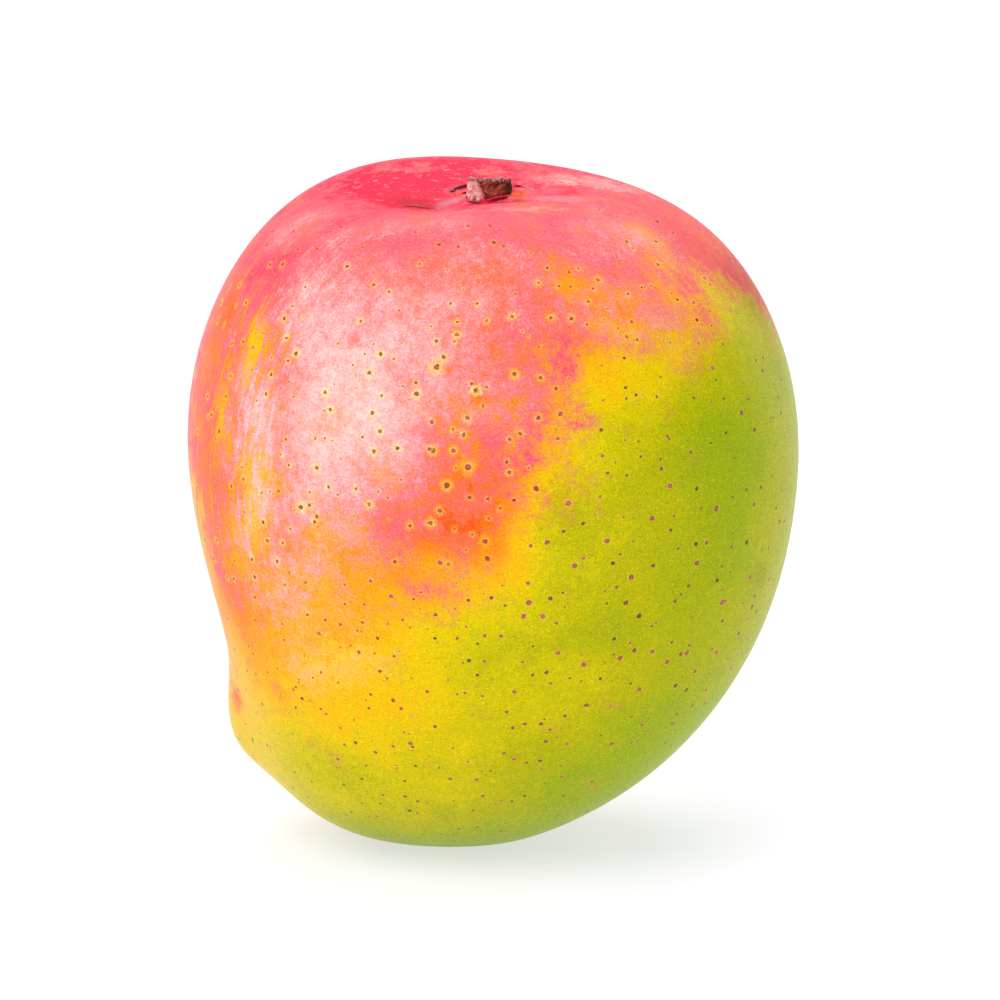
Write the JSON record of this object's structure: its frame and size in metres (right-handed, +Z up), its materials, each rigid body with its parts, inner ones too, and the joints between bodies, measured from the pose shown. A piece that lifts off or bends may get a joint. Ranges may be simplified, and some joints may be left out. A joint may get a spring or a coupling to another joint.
{
  "type": "mango",
  "caption": "Ripening mango with a woody stem stub in its top basin and a small beak low on one side, standing on a small flat spot.",
  "frame": {"origin": "middle of the small flat spot that the fruit stands on", "axes": "+Z up; +X towards the full side of the fruit and -X towards its beak; -Y towards the cheek that faces the viewer"},
  "size_m": [0.0938, 0.0851, 0.1056],
  "materials": {
    "skin": "waxy fruit skin with a soft satin gloss, red and pink above, yellow and green below",
    "bark": "rough dry bark"
  },
  "bodies": {
    "root": {"fruit": "skin", "stem_stub": "bark"}
  },
  "joints": []
}
